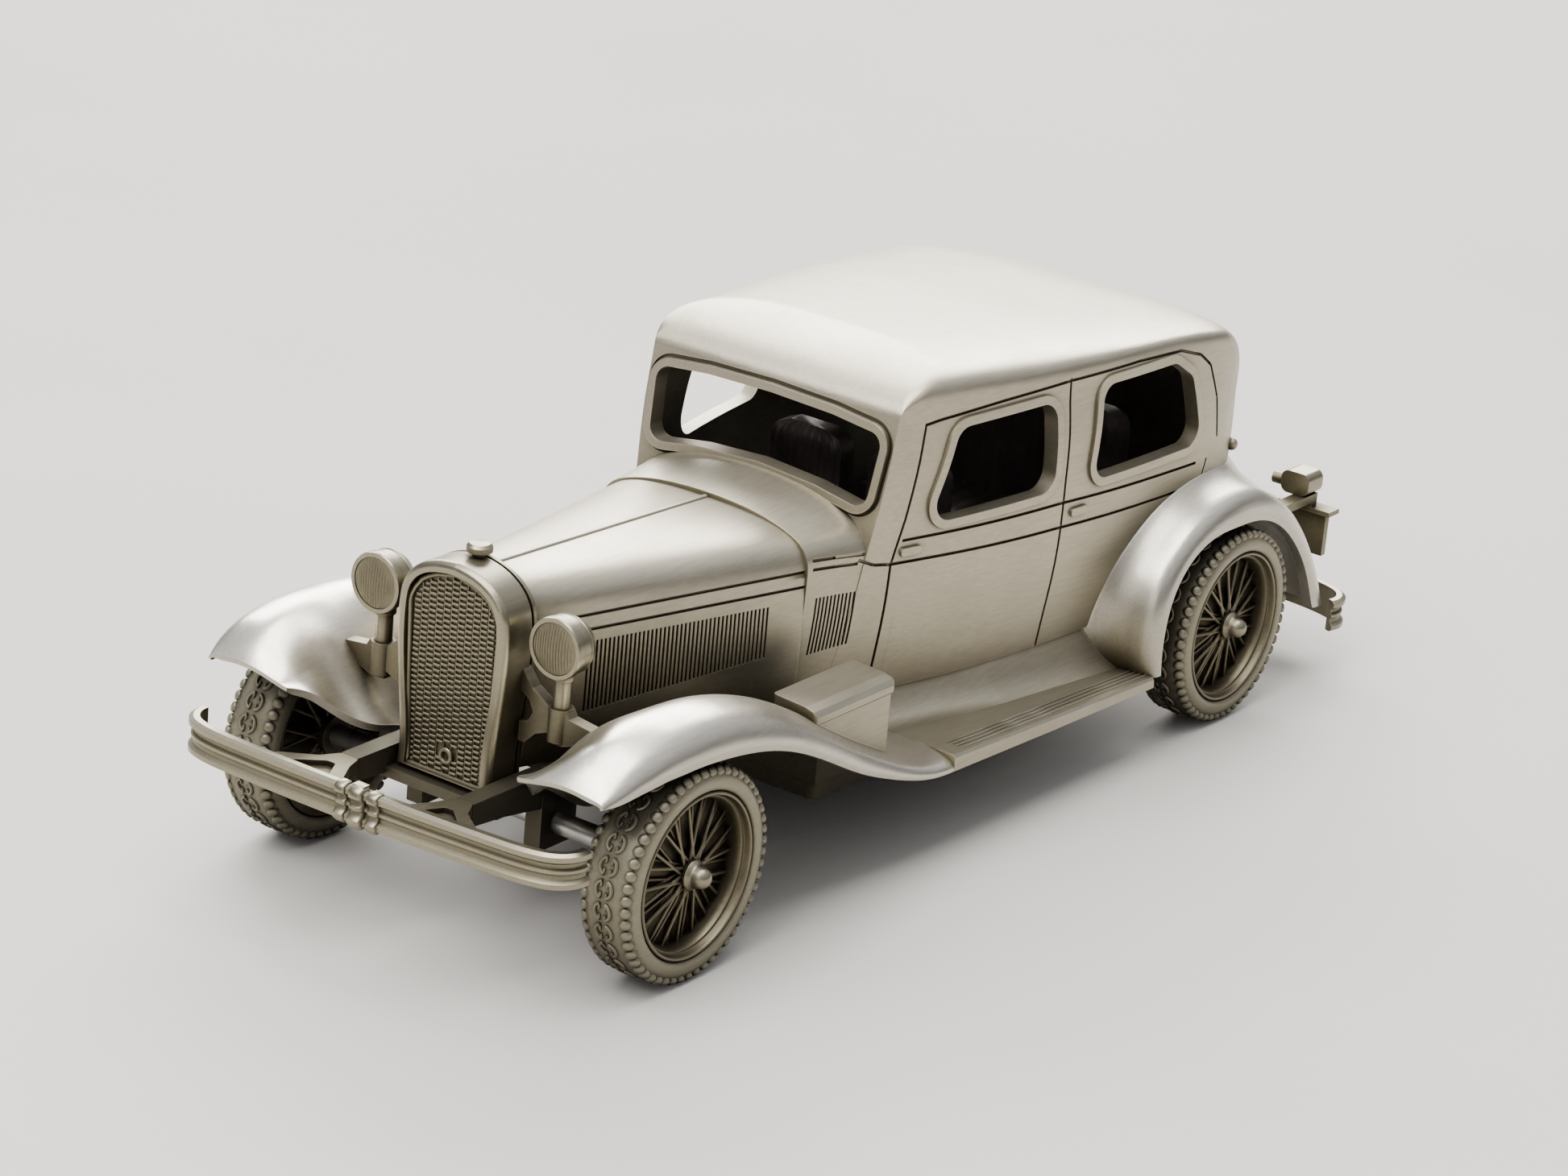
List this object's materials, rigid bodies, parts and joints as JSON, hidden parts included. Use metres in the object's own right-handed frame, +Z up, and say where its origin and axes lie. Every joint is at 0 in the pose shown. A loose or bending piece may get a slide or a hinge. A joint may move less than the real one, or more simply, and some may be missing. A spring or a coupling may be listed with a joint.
{
  "type": "diecast collector car",
  "caption": "Small cast pewter model of a pre-war four-door saloon with swept wings, wire wheels on turning axles, louvred bonnet and dark interior.",
  "frame": {"origin": "on the ground under the middle of the model's bounding box", "axes": "+Z up; -Y is the front of the car, +Y the rear; +X is the car's left side"},
  "size_m": [0.0384, 0.1028, 0.0346],
  "materials": {
    "pewter_body": "brushed satin cast pewter, darker patina in the recesses",
    "pewter_polished": "buffed cast pewter, bright on the crowns",
    "pewter_bright": "satin cast pewter, rubbed bright on the edges",
    "pewter_cast": "as-cast pewter with olive-brown patina",
    "pewter_grille": "antiqued pewter mesh",
    "pewter_dark": "dark antiqued pewter",
    "pewter_tyre": "matt antiqued pewter tread and sidewall",
    "pewter_wheel": "antiqued pewter spokes, bright rim edge",
    "screw_steel": "plated steel",
    "axle_steel": "plain steel",
    "interior_black": "moulded black plastic"
  },
  "bodies": {
    "car": {"base_plate": "pewter_dark", "base_screws": "screw_steel", "body_shell": "pewter_body", "bonnet": "pewter_body", "chassis_frame": "pewter_dark", "dashboard": "interior_black", "front_bumper": "pewter_bright", "front_bumper_clamp": "pewter_bright", "front_bumper_iron_left": "pewter_cast", "front_bumper_iron_right": "pewter_cast", "front_fender_left": "pewter_polished", "front_fender_right": "pewter_polished", "front_seat_left": "interior_black", "front_seat_right": "interior_black", "headlamp_left": "pewter_bright", "headlamp_right": "pewter_bright", "interior_floor": "interior_black", "lamp_bracket_left": "pewter_cast", "lamp_bracket_right": "pewter_cast", "number_plate": "pewter_cast", "radiator_cap": "pewter_bright", "radiator_grille": "pewter_grille", "radiator_shell": "pewter_bright", "rear_bench": "interior_black", "rear_bumper": "pewter_bright", "rear_bumper_iron_left": "pewter_cast", "rear_bumper_iron_right": "pewter_cast", "rear_fender_left": "pewter_polished", "rear_fender_right": "pewter_polished", "running_board_left": "pewter_body", "running_board_right": "pewter_body", "steering_wheel": "interior_black", "step_box_left": "pewter_body", "step_box_right": "pewter_body", "tail_lamp": "pewter_bright", "tail_lamp_bracket": "pewter_cast"},
    "front_wheelset": {"front_axle": "axle_steel", "front_hub_cap_left": "pewter_bright", "front_hub_cap_right": "pewter_bright", "front_tyre_left": "pewter_tyre", "front_tyre_right": "pewter_tyre", "front_wheel_left": "pewter_wheel", "front_wheel_right": "pewter_wheel"},
    "rear_wheelset": {"rear_axle": "axle_steel", "rear_hub_cap_left": "pewter_bright", "rear_hub_cap_right": "pewter_bright", "rear_tyre_left": "pewter_tyre", "rear_tyre_right": "pewter_tyre", "rear_wheel_left": "pewter_wheel", "rear_wheel_right": "pewter_wheel"}
  },
  "joints": [
    {"name": "front_axle_spin", "type": "hinge", "parent": "car", "child": "front_wheelset", "pos_m": [0, -0.03663, 0.00788], "axis": [1, 0, 0], "continuous": true},
    {"name": "rear_axle_spin", "type": "hinge", "parent": "car", "child": "rear_wheelset", "pos_m": [0, 0.03137, 0.00788], "axis": [1, 0, 0], "continuous": true}
  ]
}
